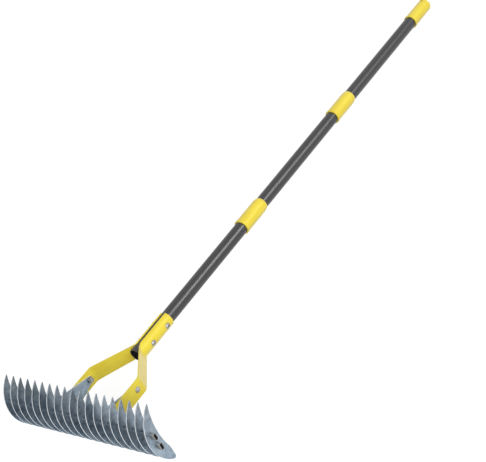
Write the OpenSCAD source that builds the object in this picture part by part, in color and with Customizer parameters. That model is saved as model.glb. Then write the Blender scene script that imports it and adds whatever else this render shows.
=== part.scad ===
// Thatch rake: a row of crescent tines on two crossbars, held in a two-armed fork
// on a handle of three tubes. The head tilts about the two pivot bolts.
// Each piece is built in the tool's own axes: X across the head, Z up the handle with
// the tips of the tines at height 0, front tips towards -Y. lay_down() then rests the
// rake on its rear tips and its end cap.

/* [Tines] */
// Number of tines in the row
tine_count = 19; // [15:2:19]
// Distance from one tine to the next
tine_pitch = 21; // [18:0.5:24]
// Thickness of the tine plate
tine_t = 2; // [1.5:0.1:2.6]
// Chord of the convex working edge at the height of the front tips
tine_chord = 130; // [122:1:140]
// How far the chord's middle lies behind the handle's axis
chord_shift = 1.5; // [0:0.5:4]
// Depth of the convex working edge below the tips
convex_depth = 40.5; // [38:0.5:46]
// Depth of the concave upper edge below the tips
concave_depth = 12.2; // [8:0.2:14]
// How far the concave edge's deepest point lies in front of the chord's middle
concave_lead = 6; // [2:0.5:8]
// Width of the blunted front tip
front_tip_w = 0.9; // [0.5:0.1:1.6]
// Depth of the flat rear end below the front tips
rear_end_depth = 7.3; // [6:0.1:8.5]
// Radius of the rounded rear tip
rear_tip_r = 4; // [2.5:0.5:5]

/* [Crossbars] */
// Width of the oblong crossbar tube
bar_w = 15.6; // [13:0.1:17]
// Height of the oblong crossbar tube
bar_h = 7.4; // [6.4:0.1:8.6]
// Wall of the crossbar tube
bar_wall = 1.2; // [0.8:0.1:1.6]
// Distance between the two crossbars
bar_spacing = 23; // [21:0.5:25]
// Depth of the crossbars below the tips
bar_depth = 25.7; // [24:0.5:27]
// How far the middle of the two crossbars lies in front of the chord's middle
bar_lead = 2; // [0:0.5:4]
// Length of crossbar that shows past the end tines
bar_overhang = 9; // [5:0.5:14]
// Wall of the spacer sleeves
spacer_wall = 1.2; // [0.8:0.1:1.6]
// Clearance round the crossbars
bar_clear = 0.1; // [0.05:0.05:0.2]

/* [Tilt bracket] */
// Number of tines from the middle one to each bracket tine
bracket_step = 3; // [2:1:4]
// Height of the pivot above the tips
pivot_h = 69; // [62:1:76]
// Radius of the bracket's round top
tab_top_r = 7; // [6.5:0.5:9]
// Lean of the bracket's sides
tab_side_angle = 16; // [13:1:19]
// Fillet between bracket and tine
tab_fillet_r = 10; // [6:1:14]
// Distance from the pivot to the lock bolt
lock_r = 48.5; // [45:0.5:50]
// Greatest tilt of the head each way
tilt_max = 12; // [10:1:13]
// Radius of the slot's three seats
slot_seat_r = 4.2; // [3.8:0.1:4.8]
// Clearance of the lock bolt in the slot's necks
slot_neck_clear = 0.3; // [0.3:0.1:0.5]

/* [Fork arms] */
// Thickness of the arm's sheet
arm_t = 2.2; // [1.8:0.1:2.6]
// Width of the flat strip
arm_w = 33; // [27:0.5:36]
// Height of the lock bolt above the arm's lower end
arm_end_h = 9; // [6.5:0.5:12]
// Corner radius of the arm's lower end
arm_corner_r = 2.5; // [1.5:0.5:4]
// Height of the lower bend's end above the pivot
lower_bend_h = 9; // [8.5:0.5:16]
// Height of the crease's middle above the lower bend's end
upper_bend_h = 68; // [60:1:85]
// Radius of the lower bend on the sheet's middle plane
bend_r = 16; // [10:1:20]
// Length of the crease's rounding on each side
crease_l = 5; // [3:0.5:7]
// Step of the sheet's rolled end inside the faces of the half sleeve
seat_inset = 0.12; // [0.1:0.02:0.2]
// Height of the half sleeve's lower end above the crease's rounding
sleeve_low_h = 5.5; // [2:0.5:8]
// Height of the sleeve's top above its lower end
sleeve_top_h = 72; // [58:1:90]
// Gap between the edges of the two half sleeves
seam_gap = 8; // [2:0.5:10]
// Clearance between arm and bracket
arm_clear = 0.3; // [0.3:0.1:0.6]
// Clearance between half sleeve and tube
sleeve_clear = 0.2; // [0.2:0.05:0.3]

/* [Handle] */
// Outer diameter of the tubes
tube_d = 27.4; // [25:0.1:29]
// Wall of the tubes
tube_wall = 1.2; // [0.8:0.1:1.6]
// Height of the half sleeve's lower end above the lowest tube's open end
tube_low_h = 27; // [14:0.5:30]
// Height of the lower joint's middle
joint_h = 542.5; // [500:0.5:600]
// Distance from one tube joint to the next, and from the upper one to the cap's middle
section_pitch = 366; // [300:1:420]
// Length of a joint collar
collar_l = 75; // [60:1:90]
// Outer diameter of a collar
collar_d = 32.2; // [31:0.1:35]
// Width of the bead at the end of a collar and of the cap
bead_l = 4; // [3:0.5:6]
// Height of the bead above the collar or cap
bead_rise = 0.5; // [0.3:0.1:0.8]
// Length of the collar's tapered shoulder
shoulder_l = 7; // [4:0.5:10]
// Drop of the tapered shoulder
shoulder_drop = 1.4; // [0.8:0.1:1.6]
// Clearance between a tube and what slides over or into it
tube_clear = 0.1; // [0.05:0.05:0.15]
// Length of the cap
cap_l = 77; // [65:1:90]
// Outer diameter of the cap
cap_d = 31.2; // [31:0.1:35]
// Radius of the cap's rounded end
cap_round_r = 6; // [4:0.5:8]
// Thickness of the cap's solid end
cap_end_l = 22; // [19:0.5:26]
// Radius of the hang hole
hang_r = 4; // [3:0.5:5]
// Distance of the hang hole from the cap's end
hang_drop = 11; // [10:0.5:13]

/* [Screw inserts] */
// Radius of the thread
thread_r = 8; // [6:0.5:9]
// Length of the threaded stem
thread_l = 26; // [20:1:32]
// Length of each insert in its tube
insert_l = 30; // [26:1:40]
// Clearance of the stem in its socket
thread_clear = 0.1; // [0.05:0.05:0.2]

/* [Bolts] */
// Radius of the bolts' shanks
bolt_r = 3; // [2.5:0.1:3.2]
// Clearance of a shank in its holes and nut
bolt_clear = 0.05; // [0.03:0.01:0.08]
// Distance of the upper handle bolt from the sleeve's top
handle_bolt_drop = 17; // [12:0.5:20]
// Distance of the lower handle bolt from the sleeve's lower end
handle_bolt_gap = 9.5; // [8:0.5:14]
// Radius of the bolts' heads
head_r = 5.6; // [5:0.1:6.5]
// Height of the bolts' heads
head_h = 3.2; // [2.6:0.1:4]
// Radius of the flat crown on the heads
crown_r = 2.8; // [2.6:0.1:3.4]
// Width across the flats of the driving socket
socket_af = 4; // [3:0.5:4.5]
// Depth of the driving socket
socket_depth = 1.8; // [1.2:0.1:2.2]
// Width across the flats of the nuts
nut_af = 10; // [8.5:0.5:11]
// Height of the nuts
nut_h = 5; // [4:0.5:6]
// Length of shank past a nut
shank_past = 1.5; // [0.5:0.5:3]

/* [Hidden] */
$fn = 48;
steel = [0.66, 0.70, 0.72];
zinc = [0.72, 0.73, 0.74];
yellow_paint = [0.93, 0.80, 0.16];
yellow_plastic = [0.94, 0.84, 0.22];
dark_grey = [0.27, 0.27, 0.29];
black = [0.10, 0.10, 0.11];
cut = 1;
mid_tine = (tine_count + 1) / 2;

// Tine outline: the convex edge's circle less the concave edge's circle, both through the front tip
function arc_r(half, depth) = (half * half + depth * depth) / (2 * depth);
function arc_end_angle(half, depth) = 2 * atan(depth / half);
convex_half = tine_chord / 2;
concave_half = convex_half - concave_lead;
convex_r = arc_r(convex_half, convex_depth);
concave_r = arc_r(concave_half, concave_depth);
convex_c = [chord_shift, convex_r - convex_depth];
concave_c = [chord_shift - concave_lead, concave_r - concave_depth];
convex_end = arc_end_angle(convex_half, convex_depth);
concave_end = arc_end_angle(concave_half, concave_depth);
tip_half_angle = (convex_end - concave_end) / 2;
tip_axis_angle = (convex_end + concave_end) / 2;
front_tip_cut = front_tip_w / (2 * tan(tip_half_angle));
// Rounds and fillets run out through the edges that they join by a small bite
round_bite = 0.05;
rear_tip_h = -rear_end_depth - rear_tip_r + round_bite;
rear_tip_reach = convex_r - rear_tip_r + round_bite;
rear_tip_c = [chord_shift + sqrt(pow(rear_tip_reach, 2) - pow(convex_c[1] - rear_tip_h, 2)), rear_tip_h];
rear_tip_away = (rear_tip_c - convex_c) / rear_tip_reach;
rear_corner_y = chord_shift + sqrt(pow(convex_r, 2) - pow(convex_c[1] + rear_end_depth, 2));

// Crossbars
bar_mid_y = chord_shift - bar_lead;
bar_y = [bar_mid_y - bar_spacing / 2, bar_mid_y + bar_spacing / 2];
row_half = (tine_count - 1) / 2 * tine_pitch + tine_t / 2;
bar_half = row_half + bar_overhang;

// Bracket: sides tangent to the round top; the front fillet, worked out on the rear side and flipped,
// touches the concave edge, the rear fillet the flat rear end
side_n = [cos(tab_side_angle), sin(tab_side_angle)];
side_t = [sin(tab_side_angle), -cos(tab_side_angle)];
pivot = [0, pivot_h];
fillet_start = pivot + side_n * (tab_top_r + tab_fillet_r);
front_c = [-concave_c[0], concave_c[1]];
front_w = fillet_start - front_c;
front_along = front_w * side_t;
front_reach = concave_r - tab_fillet_r + round_bite;
front_run = sqrt(pow(front_along, 2) - front_w * front_w + pow(front_reach, 2)) - front_along;
front_fillet_c = fillet_start + side_t * front_run;
front_fillet_away = (front_fillet_c - front_c) / front_reach;
rear_run = (fillet_start[1] + rear_end_depth - tab_fillet_r + round_bite) / cos(tab_side_angle);
rear_fillet_c = fillet_start + side_t * rear_run;
lock_h = pivot_h - lock_r;
slot_neck_r = bolt_r + slot_neck_clear;

// Fork arms: heights above the tips, each measured on from the one below it
strip_end = lock_h - arm_end_h;
lower_bend = pivot_h + lower_bend_h;
upper_bend = lower_bend + upper_bend_h;
bracket_x = bracket_step * tine_pitch;
arm_in = bracket_x + tine_t / 2 + arm_clear;
arm_out = arm_in + arm_t;
sleeve_in = tube_d / 2 + sleeve_clear;
sleeve_out = sleeve_in + arm_t;
sleeve_mid = sleeve_in + arm_t / 2;
sleeve_half_angle = 90 - asin(seam_gap / 2 / sleeve_in);
flare_run = (arm_in + arm_out) / 2 - sleeve_mid;
flare_fall = upper_bend - lower_bend;
// Angle of the flat flare that leaves the crease and touches the lower bend
flare_reach = norm([flare_fall, bend_r - flare_run]);
flare_angle = atan2(flare_fall, bend_r - flare_run) - acos(bend_r / flare_reach);
// The crease is where the flare's plane meets the rolled sheet: higher at its ends than in the middle
function crease_h(turn) = upper_bend + sleeve_mid * (1 - cos(turn)) / tan(flare_angle);
sleeve_low = crease_h(sleeve_half_angle) + crease_l + sleeve_low_h;
sleeve_top = sleeve_low + sleeve_top_h;
handle_bolt_h = [sleeve_top - handle_bolt_drop, sleeve_low + handle_bolt_gap];
bolt_hole_r = bolt_r + bolt_clear;

// Sheet between sleeve and strip: stations down it, strands across it
crease_steps = 6;
bend_steps = 6;
across_steps = 16;
flare_station = crease_steps + 2;
last_station = flare_station + bend_steps;
flare_n = [cos(flare_angle), 0, sin(flare_angle)];
function unit(v) = v / norm(v);
function rolled_point(turn, h) = [sleeve_mid * cos(turn), sleeve_mid * sin(turn), h];
// Turn of the lower bend that is left at a station
function bend_left(i) = flare_angle * (last_station - i) / bend_steps;
function bend_point(i, share) = [
    sleeve_mid + flare_run - bend_r * (1 - cos(bend_left(i))),
    share * arm_w / 2,
    lower_bend + bend_r * sin(bend_left(i))
];
// Rounded crease: a curve from the rolled sheet to the flare, with the crease as its control point
function crease_point(turn, share, u) =
    let (
        crease = rolled_point(turn, crease_h(turn)),
        above = crease + [0, 0, crease_l],
        below = crease + unit(bend_point(flare_station, share) - crease) * crease_l
    )
    above * pow(1 - u, 2) + crease * 2 * u * (1 - u) + below * pow(u, 2);
// The sheet's rolled end joins the half sleeve a little inside its faces
function sheet_inset(i) = i == 0 ? seat_inset : 0;
function sheet_point(i, share, face) =
    let (
        edge_turn = sleeve_half_angle - sheet_inset(i) / sleeve_mid * 180 / PI,
        turn = share * edge_turn,
        u = (i - 1) / crease_steps,
        rolled_n = [cos(turn), sin(turn), 0],
        off = face * (arm_t / 2 - sheet_inset(i))
    )
    i == 0 ? rolled_point(turn, sleeve_low) + rolled_n * off
    : i < flare_station ? crease_point(turn, share, u) + unit(rolled_n * (1 - u) + flare_n * u) * off
    : bend_point(i, share) + [cos(bend_left(i)), 0, sin(bend_left(i))] * off;

// Handle
tube_r = tube_d / 2;
tube_in = tube_r - tube_wall;
joint_hs = [joint_h, joint_h + section_pitch];
cap_low_h = joint_h + 2 * section_pitch - cap_l / 2;
cap_top_h = cap_low_h + cap_l;
tube_top_h = cap_top_h - cap_end_l;
cap_r = cap_d / 2;
hang_h = cap_top_h - hang_drop;

// Lying pose: the floor touches the round rear tips and the cap's rounded end
cap_edge_c = [cap_r - cap_round_r, cap_top_h - cap_round_r];
rest_span = rear_tip_c - cap_edge_c;
lay_angle = acos((cap_round_r - rear_tip_r) / norm(rest_span)) - atan2(-rest_span[1], rest_span[0]);
floor_y = rear_tip_c * [cos(lay_angle), sin(lay_angle)] + rear_tip_r;
head_end = convex_c[1] * cos(lay_angle) - convex_c[0] * sin(lay_angle) - convex_r;
cap_end = cap_edge_c[1] * cos(lay_angle) + cap_edge_c[0] * sin(lay_angle) + cap_round_r;

module lay_down() {
    translate([0, -(head_end + cap_end) / 2, floor_y])
        rotate([-90 - lay_angle, 0, 0])
            children();
}

// Stands a flat YZ outline up, centred on x
module plate(x, thickness) {
    translate([x - thickness / 2, 0, 0])
        rotate([90, 0, 90])
            linear_extrude(thickness)
                children();
}

module across(x0, x1, y, h, r) {
    translate([x0, y, h])
        rotate([0, 90, 0])
            cylinder(r = r, h = x1 - x0);
}

module oblong(width, height) {
    for (s = [-1, 1])
        translate([s * (width - height) / 2, 0])
            circle(d = height);
    square([width - height, height], center = true);
}

module bar_oblong(y, grow) {
    translate([y, -bar_depth])
        oblong(bar_w + 2 * grow, bar_h + 2 * grow);
}

module front_tip_cutter() {
    translate([chord_shift - convex_half, 0])
        rotate(-tip_axis_angle)
            translate([-tine_chord, -convex_half])
                square([tine_chord + front_tip_cut, tine_chord]);
}

// What lies outside the round of the rear tip
module rear_tip_cutter() {
    reach = rear_tip_r + cut;
    difference() {
        polygon([
            rear_tip_c,
            rear_tip_c + [0, reach],
            [rear_corner_y + cut, rear_tip_h + reach],
            rear_tip_c + rear_tip_away * reach
        ]);
        translate(rear_tip_c) circle(r = rear_tip_r);
    }
}

module crescent() {
    difference() {
        translate(convex_c) circle(r = convex_r, $fn = 180);
        translate(concave_c) circle(r = concave_r, $fn = 360);
        front_tip_cutter();
        translate([chord_shift, -rear_end_depth]) square(tine_chord);
        rear_tip_cutter();
    }
}

// One side of the bracket from its round top to below the tine's upper edge
function side_points(c, away) = [
    pivot + side_n * (tab_top_r - round_bite), c - side_n * tab_fillet_r, c, c + away * (tab_fillet_r + cut)
];
function flipped(points) = [for (i = [len(points) - 1:-1:0]) [-points[i][0], points[i][1]]];

module bracket_sides() {
    rear = side_points(rear_fillet_c, [0, -1]);
    front = flipped(side_points(front_fillet_c, front_fillet_away));
    difference() {
        polygon(concat(rear, [[0, -concave_depth - 4 * cut]], front, [pivot]));
        translate(rear_fillet_c) circle(r = tab_fillet_r);
        mirror([1, 0]) translate(front_fillet_c) circle(r = tab_fillet_r);
    }
}

module lock_slot() {
    translate(pivot) {
        intersection() {
            difference() {
                circle(r = lock_r + slot_neck_r);
                circle(r = lock_r - slot_neck_r);
            }
            polygon([
                [0, 0],
                [-2 * lock_r * tan(tilt_max), -2 * lock_r],
                [2 * lock_r * tan(tilt_max), -2 * lock_r]
            ]);
        }
        for (a = [-tilt_max, 0, tilt_max])
            rotate(a)
                translate([0, -lock_r])
                    circle(r = slot_seat_r);
    }
}

module tine(i) {
    x = (i - mid_tine) * tine_pitch;
    x0 = x - tine_t / 2;
    x1 = x + tine_t / 2;
    is_bracket = abs(i - mid_tine) == bracket_step;
    color(steel)
        lay_down()
            difference() {
                union() {
                    plate(x, tine_t) crescent();
                    if (is_bracket) {
                        plate(x, tine_t) bracket_sides();
                        across(x0, x1, 0, pivot_h, tab_top_r);
                    }
                }
                for (y = bar_y) plate(x, tine_t + 2 * cut) bar_oblong(y, bar_clear);
                if (is_bracket) {
                    across(x0 - cut, x1 + cut, 0, pivot_h, bolt_hole_r);
                    plate(x, tine_t + 2 * cut) lock_slot();
                }
            }
}

module crossbar(y) {
    color(zinc)
        lay_down()
            plate(0, 2 * bar_half)
                difference() {
                    bar_oblong(y, 0);
                    bar_oblong(y, -bar_wall);
                }
}

module spacers(y) {
    color(zinc)
        lay_down()
            for (i = [1:tine_count - 1])
                plate((i + 0.5 - mid_tine) * tine_pitch, tine_pitch - tine_t)
                    difference() {
                        bar_oblong(y, bar_clear + spacer_wall);
                        bar_oblong(y, bar_clear);
                    }
}

module half_sleeve() {
    translate([0, 0, sleeve_low])
        rotate(-sleeve_half_angle)
            rotate_extrude(angle = 2 * sleeve_half_angle)
                translate([sleeve_in, 0])
                    square([arm_t, sleeve_top - sleeve_low]);
}

module bent_sheet() {
    ring = 2 * (across_steps + 1);
    shares = [for (j = [0:across_steps]) 2 * j / across_steps - 1];
    points = [
        for (i = [0:last_station]) each concat(
            [for (s = shares) sheet_point(i, s, 1)],
            [for (j = [across_steps:-1:0]) sheet_point(i, shares[j], -1)]
        )
    ];
    walls = [
        for (i = [0:last_station - 1], j = [0:ring - 1])
            let (a = i * ring + j, b = i * ring + (j + 1) % ring)
            each [[a, b, b + ring], [a, b + ring, a + ring]]
    ];
    ends = [
        for (j = [0:across_steps - 1])
            let (a = j, b = j + 1, c = ring - 2 - j, d = ring - 1 - j, e = last_station * ring)
            each [[a, c, b], [a, d, c], [e + a, e + b, e + c], [e + a, e + c, e + d]]
    ];
    polyhedron(points = points, faces = concat(walls, ends));
}

module flat_strip() {
    strip_l = lower_bend - strip_end;
    plate((arm_in + arm_out) / 2, arm_t)
        translate([0, strip_end]) {
            translate([-arm_w / 2, arm_corner_r]) square([arm_w, strip_l - arm_corner_r]);
            translate([-arm_w / 2 + arm_corner_r, 0]) square([arm_w - 2 * arm_corner_r, strip_l]);
            for (s = [-1, 1])
                translate([s * (arm_w / 2 - arm_corner_r), arm_corner_r])
                    circle(r = arm_corner_r);
        }
}

module arm() {
    difference() {
        union() {
            half_sleeve();
            bent_sheet();
            flat_strip();
        }
        for (h = [pivot_h, lock_h]) across(arm_in - cut, arm_out + cut, 0, h, bolt_hole_r);
        for (h = handle_bolt_h) across(0, sleeve_out + cut, 0, h, bolt_hole_r);
    }
}

module fork_arm_right() {
    color(yellow_paint) lay_down() arm();
}

module fork_arm_left() {
    color(yellow_paint) lay_down() mirror([1, 0, 0]) arm();
}

// Domed head with a flat crown, its seat at x = 0 and its shank towards -X
module bolt(shank_l, socket) {
    dome_h = (head_h * head_h + crown_r * crown_r - head_r * head_r) / (2 * head_h);
    rotate([0, 90, 0])
        difference() {
            rotate_extrude()
                union() {
                    translate([0, -shank_l]) square([bolt_r, shank_l + head_h / 2]);
                    intersection() {
                        translate([0, dome_h]) circle(r = norm([head_r, dome_h]));
                        square([head_r, head_h]);
                    }
                }
            if (socket)
                translate([0, 0, head_h - socket_depth])
                    cylinder(d = socket_af / cos(30), h = socket_depth + cut, $fn = 6);
        }
}

module nut() {
    rotate([0, 90, 0])
        difference() {
            cylinder(d = nut_af / cos(30), h = nut_h, $fn = 6);
            translate([0, 0, -cut]) cylinder(r = bolt_hole_r, h = nut_h + 2 * cut);
        }
}

nut_x = bracket_x - tine_t / 2 - arm_clear - nut_h;
arm_bolt_l = arm_out - nut_x + shank_past;

module both_sides() {
    children();
    mirror([1, 0, 0]) children();
}

module arm_bolts(h) {
    color(zinc)
        lay_down()
            both_sides()
                translate([arm_out, 0, h])
                    bolt(arm_bolt_l, false);
}

module arm_nuts(h) {
    color(zinc)
        lay_down()
            both_sides()
                translate([nut_x, 0, h])
                    nut();
}

module pivot_bolts() { arm_bolts(pivot_h); }
module pivot_nuts() { arm_nuts(pivot_h); }
module lock_bolts() { arm_bolts(lock_h); }
module lock_nuts() { arm_nuts(lock_h); }

module handle_bolts() {
    color(zinc)
        lay_down()
            for (h = handle_bolt_h)
                translate([sleeve_out, 0, h])
                    bolt(2 * sleeve_out + nut_h + shank_past, true);
}

module handle_nuts() {
    color(zinc)
        lay_down()
            for (h = handle_bolt_h)
                translate([-sleeve_out - nut_h, 0, h])
                    nut();
}

module pipe(h0, h1, r_out, r_in) {
    translate([0, 0, h0])
        difference() {
            cylinder(r = r_out, h = h1 - h0);
            translate([0, 0, -cut]) cylinder(r = r_in, h = h1 - h0 + 2 * cut);
        }
}

module tube(h0, h1) {
    pipe(h0, h1, tube_r, tube_in);
}

module lower_tube() {
    color(dark_grey)
        lay_down()
            difference() {
                tube(sleeve_low - tube_low_h, joint_hs[0]);
                for (h = handle_bolt_h) across(-tube_d, tube_d, 0, h, bolt_hole_r);
            }
}

module middle_tube() {
    color(dark_grey) lay_down() tube(joint_hs[0], joint_hs[1]);
}

module upper_tube() {
    color(dark_grey) lay_down() tube(joint_hs[1], tube_top_h);
}

module collar(h) {
    r = collar_d / 2;
    bore = tube_r + tube_clear;
    taper = min(shoulder_drop, (r - bore) / 2);
    color(yellow_plastic)
        lay_down()
            translate([0, 0, h - collar_l / 2])
                rotate_extrude()
                    polygon([
                        [bore, 0],
                        [r, 0],
                        [r + bead_rise, bead_rise],
                        [r + bead_rise, bead_l - bead_rise],
                        [r, bead_l],
                        [r, collar_l - shoulder_l],
                        [r - taper, collar_l],
                        [bore, collar_l]
                    ]);
}

module lower_collar() { collar(joint_hs[0]); }
module upper_collar() { collar(joint_hs[1]); }

module socket_insert(h) {
    color(black)
        lay_down()
            pipe(h - insert_l, h, tube_in - tube_clear, thread_r + thread_clear);
}

module stud_insert(h) {
    color(black)
        lay_down() {
            translate([0, 0, h]) cylinder(r = tube_in - tube_clear, h = insert_l);
            translate([0, 0, h - thread_l]) cylinder(r = thread_r, h = thread_l + cut);
        }
}

module lower_socket() { socket_insert(joint_hs[0]); }
module upper_socket() { socket_insert(joint_hs[1]); }
module lower_stud() { stud_insert(joint_hs[0]); }
module upper_stud() { stud_insert(joint_hs[1]); }

module end_cap() {
    color(yellow_plastic)
        lay_down()
            difference() {
                translate([0, 0, cap_low_h])
                    rotate_extrude() {
                        polygon([
                            [0, 0],
                            [cap_r, 0],
                            [cap_r + bead_rise, bead_rise],
                            [cap_r + bead_rise, bead_l - bead_rise],
                            [cap_r, bead_l],
                            [cap_r, cap_l - cap_round_r],
                            [0, cap_l - cap_round_r]
                        ]);
                        square([cap_r - cap_round_r, cap_l]);
                        intersection() {
                            translate([cap_r - cap_round_r, cap_l - cap_round_r]) circle(r = cap_round_r);
                            square([cap_r, cap_l]);
                        }
                    }
                translate([0, 0, cap_low_h - cut])
                    cylinder(r = tube_r + tube_clear, h = cap_l - cap_end_l + cut);
                translate([0, cap_d, hang_h]) rotate([90, 0, 0]) cylinder(r = hang_r, h = 2 * cap_d);
            }
}

function tine_node(i) = str("tine_", i < 10 ? "0" : "", i);

lower_tube();
middle_tube();
upper_tube();
lower_collar();
upper_collar();
end_cap();
lower_socket();
upper_socket();
lower_stud();
upper_stud();
fork_arm_left();
fork_arm_right();
handle_bolts();
handle_nuts();
pivot_bolts();
pivot_nuts();
lock_bolts();
lock_nuts();
crossbar(bar_y[0]);  // front_crossbar
crossbar(bar_y[1]);  // rear_crossbar
spacers(bar_y[0]);  // front_spacers
spacers(bar_y[1]);  // rear_spacers
for (i = [1:tine_count])
    tine(i);
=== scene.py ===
import math

import bmesh
import bpy
from mathutils import Matrix, Vector


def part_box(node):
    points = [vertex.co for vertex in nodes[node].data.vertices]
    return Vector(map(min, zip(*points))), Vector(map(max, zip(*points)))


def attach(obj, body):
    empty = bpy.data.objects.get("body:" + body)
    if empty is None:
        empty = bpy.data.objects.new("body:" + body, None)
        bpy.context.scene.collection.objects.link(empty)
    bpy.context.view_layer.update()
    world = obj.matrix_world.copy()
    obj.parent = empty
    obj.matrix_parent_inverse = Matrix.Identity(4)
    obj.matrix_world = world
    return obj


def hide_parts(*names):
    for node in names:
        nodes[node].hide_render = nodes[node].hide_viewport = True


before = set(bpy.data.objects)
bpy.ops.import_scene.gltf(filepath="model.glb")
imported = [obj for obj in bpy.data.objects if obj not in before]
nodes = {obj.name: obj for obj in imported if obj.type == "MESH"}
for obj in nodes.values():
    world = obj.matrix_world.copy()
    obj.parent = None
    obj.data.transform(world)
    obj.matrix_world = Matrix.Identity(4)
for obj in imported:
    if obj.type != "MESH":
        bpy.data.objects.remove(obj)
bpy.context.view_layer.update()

scene = bpy.context.scene
mm = 0.001
pivotHeight = 69.0
boltHole = 3.05


def boxMid(node):
    low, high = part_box(node)
    return (low + high) / 2


# The rake's own axes in mm: x across the head, y to the rear, h up the handle from the tine tips
pivotMid = boxMid("pivot_bolts")
handleUp = (pivotMid - boxMid("lock_bolts")).normalized()
acrossHead = Vector((1, 0, 0))
toRear = handleUp.cross(acrossHead)
toPlace = Matrix((acrossHead, toRear, handleUp)).transposed().to_4x4()
toPlace.translation = pivotMid - handleUp * pivotHeight * mm
toPlace = toPlace @ Matrix.Scale(mm, 4)
print("axes taken from the bolts, handle leans", round(math.degrees(math.asin(-handleUp.z)), 2))


# Materials

noiseEnds = (0.3, 0.7)  # most of a noise lies between these


def startMaterial(name, **shaderValues):
    material = bpy.data.materials.new(name)
    material.use_nodes = True
    shader = material.node_tree.nodes["Principled BSDF"]
    for socket, value in shaderValues.items():
        shader.inputs[socket.replace("_", " ")].default_value = value
    return material, material.node_tree, shader


def feed(tree, shader, **values):
    for socket, value in values.items():
        tree.links.new(value, shader.inputs[socket.replace("_", " ")])


# Sockets are given by name, or as in0, in1 and so on by number
def addNode(tree, kind, settings=None, **sockets):
    node = tree.nodes.new(kind)
    for key, value in (settings or {}).items():
        setattr(node, key, value)
    for key, value in sockets.items():
        socket = node.inputs[int(key[2:]) if key.startswith("in") else key.replace("_", " ")]
        if isinstance(value, bpy.types.NodeSocket):
            tree.links.new(value, socket)
        else:
            socket.default_value = value
    return node


def addMath(tree, operation, first, second=0.0, third=0.0):
    node = addNode(tree, "ShaderNodeMath", {"operation": operation}, in0=first, in1=second, in2=third)
    return node.outputs[0]


def objectPlace(tree):
    return addNode(tree, "ShaderNodeTexCoord").outputs["Object"]


def addNoise(tree, place, scale, detail, stretch=None):
    if stretch:
        place = addNode(tree, "ShaderNodeMapping", Vector=place, Scale=stretch).outputs[0]
    return addNode(tree, "ShaderNodeTexNoise", Vector=place, Scale=scale, Detail=detail).outputs["Fac"]


def addRamp(tree, factor, *stops):
    node = addNode(tree, "ShaderNodeValToRGB", Fac=factor)
    for element, (position, colour) in zip(node.color_ramp.elements, stops):
        element.position = position
        element.color = (*colour, 1)
    return node.outputs["Color"]


def addRange(tree, value, low, high, newLow, newHigh):
    node = addNode(tree, "ShaderNodeMapRange", in0=value, in1=low, in2=high, in3=newLow, in4=newHigh)
    return node.outputs[0]


def noiseColour(tree, noise, first, second):
    return addRamp(tree, noise, (noiseEnds[0], first), (noiseEnds[1], second))


def noiseRange(tree, noise, ends):
    return addRange(tree, noise, *noiseEnds, *ends)


def mixColour(tree, factor, first, second, blend="MIX"):
    settings = {"data_type": "RGBA", "blend_type": blend}
    return addNode(tree, "ShaderNodeMix", settings, in0=factor, in6=first, in7=second).outputs[2]


def addBump(tree, height, look):
    node = addNode(tree, "ShaderNodeBump", Height=height, Strength=look["bump"], Distance=look["bumpDepth"])
    return node.outputs[0]


weave = {
    "strand": 1.7 * mm, "dark": (0.006, 0.006, 0.007), "light": (0.026, 0.026, 0.028), "index": 1.6,
    "over": 0.55, "crown": 0.2, "fleck": 420.0, "fleckDetail": 2.0, "fleckTone": (0.45, 1.5),
    "rough": (0.32, 0.40), "bump": 0.2, "bumpDepth": 0.06 * mm,
}


def strandArch(tree, place):
    return addMath(tree, "SINE", addMath(tree, "MULTIPLY", addMath(tree, "FRACT", place), math.pi))


def makeTubeCoat():
    material, tree, shader = startMaterial("tubeCoat", IOR=weave["index"])
    wrap = addNode(tree, "ShaderNodeUVMap", {"uv_map": "wrap"}).outputs[0]
    split = addNode(tree, "ShaderNodeSeparateXYZ", Vector=wrap)
    around = addMath(tree, "DIVIDE", split.outputs[0], weave["strand"])
    along = addMath(tree, "DIVIDE", split.outputs[1], weave["strand"])
    cellSum = addMath(tree, "ADD", addMath(tree, "FLOOR", around), addMath(tree, "FLOOR", along))
    # Two over, two under: which strand lies on top
    overUnder = addMath(tree, "LESS_THAN", addMath(tree, "FLOORED_MODULO", cellSum, 4.0), 2.0)
    flipped = addMath(tree, "SUBTRACT", 1.0, overUnder)
    aroundTop = addMath(tree, "MULTIPLY", strandArch(tree, around), overUnder)
    alongTop = addMath(tree, "MULTIPLY", strandArch(tree, along), flipped)
    arch = addMath(tree, "ADD", aroundTop, alongTop)
    fleck = addNoise(tree, objectPlace(tree), weave["fleck"], weave["fleckDetail"])
    # Painted shading: each strand is painted lighter along its crown and darker at its sides, as light
    # would fall on its round relief
    crown = addMath(tree, "MULTIPLY", arch, weave["crown"])
    tone = addMath(tree, "MULTIPLY_ADD", overUnder, weave["over"], crown)
    tone = addMath(tree, "MULTIPLY", tone, noiseRange(tree, fleck, weave["fleckTone"]))
    feed(
        tree, shader,
        Base_Color=addRamp(tree, tone, (0.0, weave["dark"]), (1.0, weave["light"])),
        Roughness=noiseRange(tree, fleck, weave["rough"]),
        Normal=addBump(tree, arch, weave),
    )
    return material


powder = {
    "base": (0.77, 0.63, 0.052), "deep": (0.71, 0.56, 0.036), "cloud": 35.0, "cloudDetail": 4.0,
    "peel": 900.0, "peelDetail": 2.0, "rough": (0.32, 0.46), "bump": 0.18, "bumpDepth": 0.06 * mm,
    "shine": 0.25, "haze": 0.85, "hazeRough": 0.4,
}


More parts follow.
